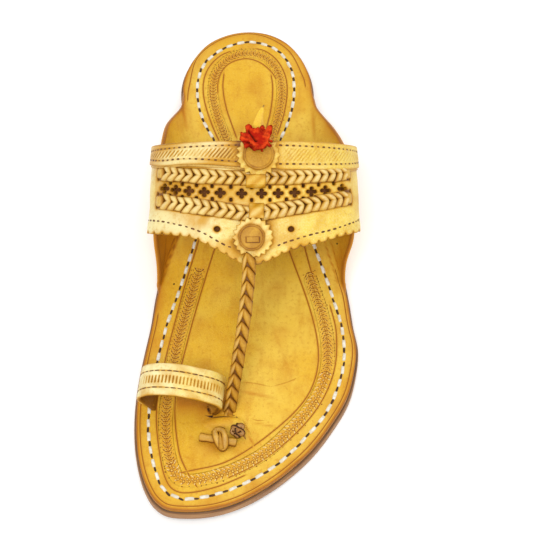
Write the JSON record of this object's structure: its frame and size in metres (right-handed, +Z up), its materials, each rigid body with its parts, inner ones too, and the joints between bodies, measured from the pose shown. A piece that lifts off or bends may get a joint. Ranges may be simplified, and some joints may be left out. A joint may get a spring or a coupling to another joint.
{
  "type": "kolhapuri sandal",
  "caption": "Left leather sandal with raised insole ears, a punched and braided instep band, a braided toe strap and a big-toe ring.",
  "frame": {"origin": "centre of the bounding box at the floor", "axes": "+Z up, heel towards +Y, toe towards -Y, big toe at -X"},
  "size_m": [0.1148, 0.28, 0.0939],
  "materials": {
    "sole_leather": "waxed brown cut edge, matt underside",
    "insole_leather": "ochre, oiled, stamped lines, semi-gloss",
    "band_leather": "pale yellow, oiled, semi-gloss",
    "thong_leather": "dark brown, dry",
    "red_wool": "loose red wool"
  },
  "bodies": {
    "root": {"outsole": "sole_leather", "heel": "sole_leather", "insole": "insole_leather", "upper": "band_leather", "rear_strip": "band_leather", "rosette_rear": "band_leather", "rosette_front": "band_leather", "button_rear": "band_leather", "button_front": "band_leather", "centre_tab_rear": "band_leather", "centre_tab_front": "band_leather", "pompom": "red_wool", "leather_spike": "insole_leather", "toe_ring": "band_leather", "knot_loop": "insole_leather", "knot_peg": "insole_leather", "thong_knot": "thong_leather"}
  },
  "joints": []
}
